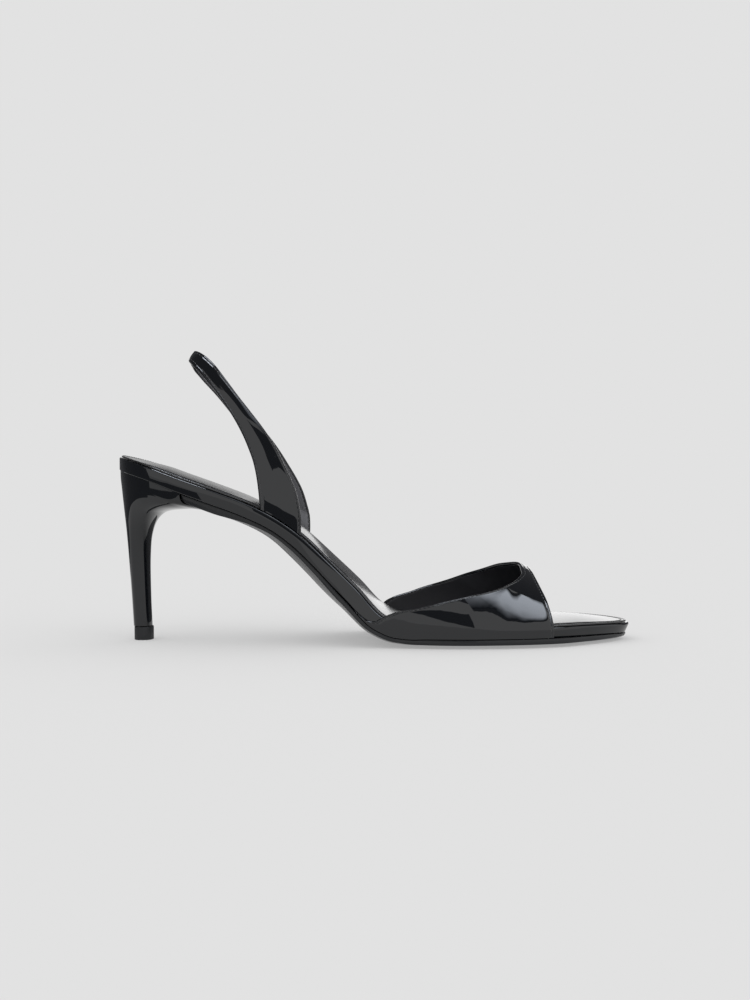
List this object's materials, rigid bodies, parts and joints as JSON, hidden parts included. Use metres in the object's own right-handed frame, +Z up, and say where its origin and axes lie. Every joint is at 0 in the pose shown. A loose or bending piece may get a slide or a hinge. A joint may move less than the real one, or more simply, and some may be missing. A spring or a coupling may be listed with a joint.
{
  "type": "slingback sandal",
  "caption": "Open-toe slingback sandal with a broad toe band, a one-piece sling strap and a slim high covered heel.",
  "frame": {"origin": "on the floor, under the middle of the shoe's box", "axes": "+X towards the toe, +Y towards the inner side of this right shoe, +Z up"},
  "size_m": [0.2244, 0.0782, 0.1272],
  "materials": {
    "patent": "black patent, high gloss",
    "sock": "smooth black sock leather, satin",
    "outsole": "black painted leather sole, semi-gloss",
    "tip": "matte black top lift"
  },
  "bodies": {
    "root": {"outsole": "outsole", "footbed": "patent", "sock": "sock", "vamp": "patent", "sling_strap": "patent", "heel": "patent", "heel_tip": "tip"}
  },
  "joints": []
}
